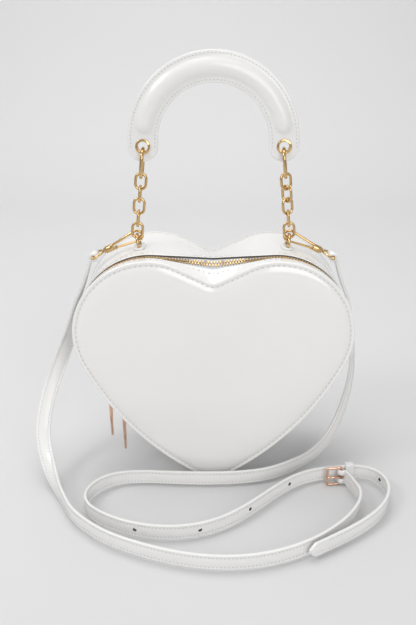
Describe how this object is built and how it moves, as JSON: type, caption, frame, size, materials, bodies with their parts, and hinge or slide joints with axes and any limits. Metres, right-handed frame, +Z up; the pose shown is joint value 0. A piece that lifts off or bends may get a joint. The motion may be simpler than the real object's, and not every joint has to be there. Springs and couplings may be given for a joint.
{
  "type": "heart-shaped purse",
  "caption": "White heart-shaped hard purse with a padded arch handle on gold chains, a zip round its edge and a buckled shoulder strap on snap hooks.",
  "frame": {"origin": "where a hand holds the handle: the middle of the arch's underside, halfway through the bag's depth", "axes": "+X to the right seen from the front, +Y towards the back, +Z up; the heart's front panel faces -Y"},
  "size_m": [0.2865, 0.191, 0.3333],
  "materials": {
    "patent": "white glossy patent leather",
    "handle_leather": "white smooth leather, stitched edges",
    "board": "plain stiffening board",
    "lining": "woven lining cloth",
    "padding": "soft felt filler",
    "zip_tape": "pale woven tape",
    "zip_teeth": "polished gold teeth",
    "zip_metal": "polished rose gold",
    "gold": "polished gold",
    "strap": "white leather with stitched edges",
    "buckle": "polished rose gold"
  },
  "bodies": {
    "handle": {"handle_front_leather": "handle_leather", "handle_back_leather": "handle_leather", "handle_padding": "padding", "eyelet_left": "gold", "eyelet_right": "gold"},
    "ring_left": {"chain_ring_left": "gold"},
    "link_left_1": {"chain_link_left_1": "gold"},
    "link_left_2": {"chain_link_left_2": "gold"},
    "link_left_3": {"chain_link_left_3": "gold"},
    "link_left_4": {"chain_link_left_4": "gold"},
    "link_left_5": {"chain_link_left_5": "gold"},
    "ring_right": {"chain_ring_right": "gold"},
    "link_right_1": {"chain_link_right_1": "gold"},
    "link_right_2": {"chain_link_right_2": "gold"},
    "link_right_3": {"chain_link_right_3": "gold"},
    "link_right_4": {"chain_link_right_4": "gold"},
    "link_right_5": {"chain_link_right_5": "gold"},
    "bag": {"back_panel": "patent", "back_board": "board", "back_lining": "lining", "rear_gusset": "patent", "gusset_lining": "lining", "rear_zip_tape": "zip_tape", "rear_zip_teeth": "zip_teeth", "anchor_left": "gold", "anchor_right": "gold", "anchor_tab_left": "patent", "anchor_tab_right": "patent", "snap_hook_left": "gold", "snap_hook_right": "gold", "swivel_eye_left": "gold", "swivel_eye_right": "gold", "short_strap_riser": "strap", "short_strap_floor": "strap", "long_strap_riser": "strap", "long_strap_floor": "strap", "buckle_frame": "buckle", "strap_keeper": "strap"},
    "front_shell": {"front_panel": "patent", "front_board": "board", "front_lining": "lining", "front_gusset": "patent", "front_zip_tape": "zip_tape", "front_zip_teeth": "zip_teeth"},
    "slider_upper": {"zip_slider_upper": "zip_metal"},
    "pull_upper": {"zip_pull_upper": "zip_metal"},
    "slider_lower": {"zip_slider_lower": "zip_metal"},
    "pull_lower": {"zip_pull_lower": "zip_metal"},
    "gate_left": {"hook_gate_left": "gold"},
    "gate_right": {"hook_gate_right": "gold"},
    "prong": {"buckle_prong": "buckle"}
  },
  "joints": [
    {"name": "ring_left_swing", "type": "hinge", "parent": "handle", "child": "ring_left", "pos_m": [-0.05307, 0, -0.05386], "axis": [1, 0, 0], "range_deg": [-8, 8]},
    {"name": "link_left_1_swing", "type": "hinge", "parent": "ring_left", "child": "link_left_1", "pos_m": [-0.05436, 0, -0.06617], "axis": [1, 0, 0], "range_deg": [-12, 12]},
    {"name": "link_left_2_swing", "type": "hinge", "parent": "link_left_1", "child": "link_left_2", "pos_m": [-0.05536, 0, -0.07566], "axis": [1, 0, 0], "range_deg": [-12, 12]},
    {"name": "link_left_3_swing", "type": "hinge", "parent": "link_left_2", "child": "link_left_3", "pos_m": [-0.05636, 0, -0.08516], "axis": [1, 0, 0], "range_deg": [-12, 12]},
    {"name": "link_left_4_swing", "type": "hinge", "parent": "link_left_3", "child": "link_left_4", "pos_m": [-0.05735, 0, -0.09466], "axis": [1, 0, 0], "range_deg": [-12, 12]},
    {"name": "link_left_5_swing", "type": "hinge", "parent": "link_left_4", "child": "link_left_5", "pos_m": [-0.05835, 0, -0.10416], "axis": [1, 0, 0], "range_deg": [-12, 12]},
    {"name": "ring_right_swing", "type": "hinge", "parent": "handle", "child": "ring_right", "pos_m": [0.05307, 0, -0.05386], "axis": [1, 0, 0], "range_deg": [-8, 8]},
    {"name": "link_right_1_swing", "type": "hinge", "parent": "ring_right", "child": "link_right_1", "pos_m": [0.05436, 0, -0.06617], "axis": [1, 0, 0], "range_deg": [-12, 12]},
    {"name": "link_right_2_swing", "type": "hinge", "parent": "link_right_1", "child": "link_right_2", "pos_m": [0.05536, 0, -0.07566], "axis": [1, 0, 0], "range_deg": [-12, 12]},
    {"name": "link_right_3_swing", "type": "hinge", "parent": "link_right_2", "child": "link_right_3", "pos_m": [0.05636, 0, -0.08516], "axis": [1, 0, 0], "range_deg": [-12, 12]},
    {"name": "link_right_4_swing", "type": "hinge", "parent": "link_right_3", "child": "link_right_4", "pos_m": [0.05735, 0, -0.09466], "axis": [1, 0, 0], "range_deg": [-12, 12]},
    {"name": "link_right_5_swing", "type": "hinge", "parent": "link_right_4", "child": "link_right_5", "pos_m": [0.05835, 0, -0.10416], "axis": [1, 0, 0], "range_deg": [-12, 12]},
    {"name": "bag_swing", "type": "hinge", "parent": "link_left_5", "child": "bag", "pos_m": [-0.05934, 0, -0.11366], "axis": [1, 0, 0], "range_deg": [-12, 12]},
    {"name": "front_open", "type": "hinge", "parent": "bag", "child": "front_shell", "pos_m": [0, -0.0295, -0.30803], "axis": [1, 0, 0], "range_deg": [0, 20]},
    {"name": "slider_upper_run", "type": "slide", "parent": "bag", "child": "slider_upper", "axis": [-0.5902, 0, 0.8073], "range_m": [0, 0.016]},
    {"name": "pull_upper_swing", "type": "hinge", "parent": "slider_upper", "child": "pull_upper", "pos_m": [-0.08178, -0.025, -0.24668], "axis": [-0.5902, 0, 0.8073], "range_deg": [-50, 50]},
    {"name": "slider_lower_run", "type": "slide", "parent": "bag", "child": "slider_lower", "axis": [-0.6461, 0, 0.7633], "range_m": [-0.006, 0]},
    {"name": "pull_lower_swing", "type": "hinge", "parent": "slider_lower", "child": "pull_lower", "pos_m": [-0.07151, -0.025, -0.25973], "axis": [-0.6461, 0, 0.7633], "range_deg": [-50, 50]},
    {"name": "gate_left_press", "type": "hinge", "parent": "bag", "child": "gate_left", "pos_m": [-0.07641, 0.003, -0.1237], "axis": [0, -1, 0], "range_deg": [0, 5], "stiffness_Nm_per_rad": 0.02},
    {"name": "gate_right_press", "type": "hinge", "parent": "bag", "child": "gate_right", "pos_m": [0.07641, 0.003, -0.1237], "axis": [0, 1, 0], "range_deg": [0, 5], "stiffness_Nm_per_rad": 0.02},
    {"name": "prong_turn", "type": "hinge", "parent": "bag", "child": "prong", "pos_m": [0.10481, -0.04864, -0.30203], "axis": [0, 0, 1], "range_deg": [0, 60]}
  ],
  "couplings": [
    {"joint": "ring_right_swing", "follows": "ring_left_swing", "ratio": 1},
    {"joint": "link_right_1_swing", "follows": "link_left_1_swing", "ratio": 1},
    {"joint": "link_right_2_swing", "follows": "link_left_2_swing", "ratio": 1},
    {"joint": "link_right_3_swing", "follows": "link_left_3_swing", "ratio": 1},
    {"joint": "link_right_4_swing", "follows": "link_left_4_swing", "ratio": 1},
    {"joint": "link_right_5_swing", "follows": "link_left_5_swing", "ratio": 1}
  ]
}
